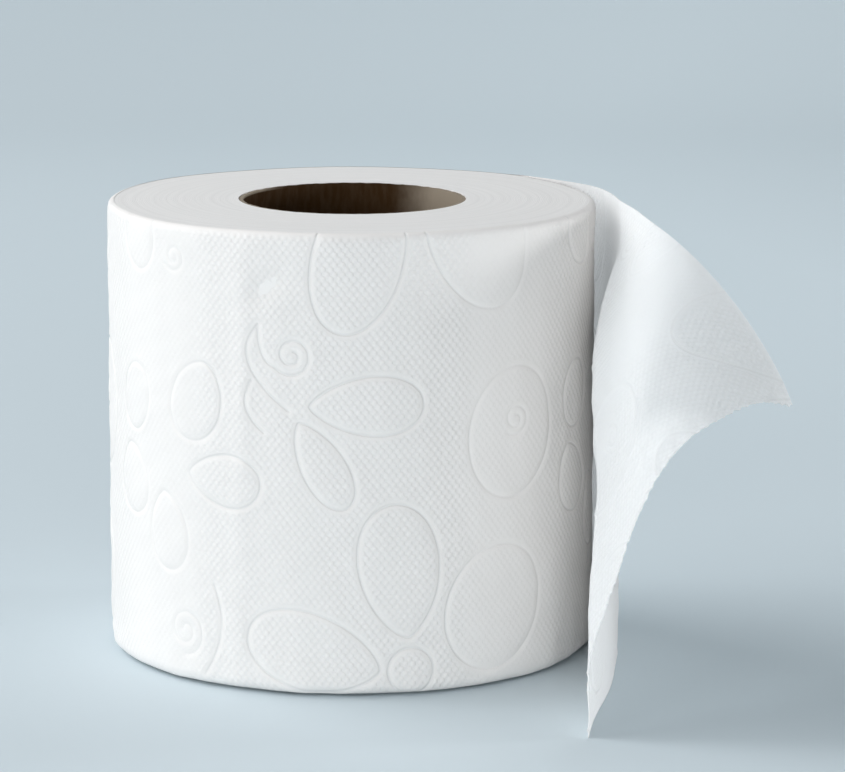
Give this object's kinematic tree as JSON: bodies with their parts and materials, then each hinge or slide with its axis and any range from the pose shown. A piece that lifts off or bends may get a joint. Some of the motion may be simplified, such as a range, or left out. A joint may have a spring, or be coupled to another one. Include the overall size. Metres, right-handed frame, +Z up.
{
  "type": "toilet paper roll",
  "caption": "Wound roll of embossed tissue paper on a cardboard core, standing on its end, with its last sheet hanging free and its upper corner curled outwards.",
  "frame": {"origin": "on the core's axis, at the foot of the roll", "axes": "+Z up along the core's axis; +X to the right and +Y away from a viewer who sees the free sheet on the right"},
  "size_m": [0.143, 0.1373, 0.098],
  "materials": {
    "tissue": "soft matt, embossed",
    "core_board": "raw brown board"
  },
  "bodies": {
    "root": {"cardboard_core": "core_board", "paper_roll": "tissue"}
  },
  "joints": []
}
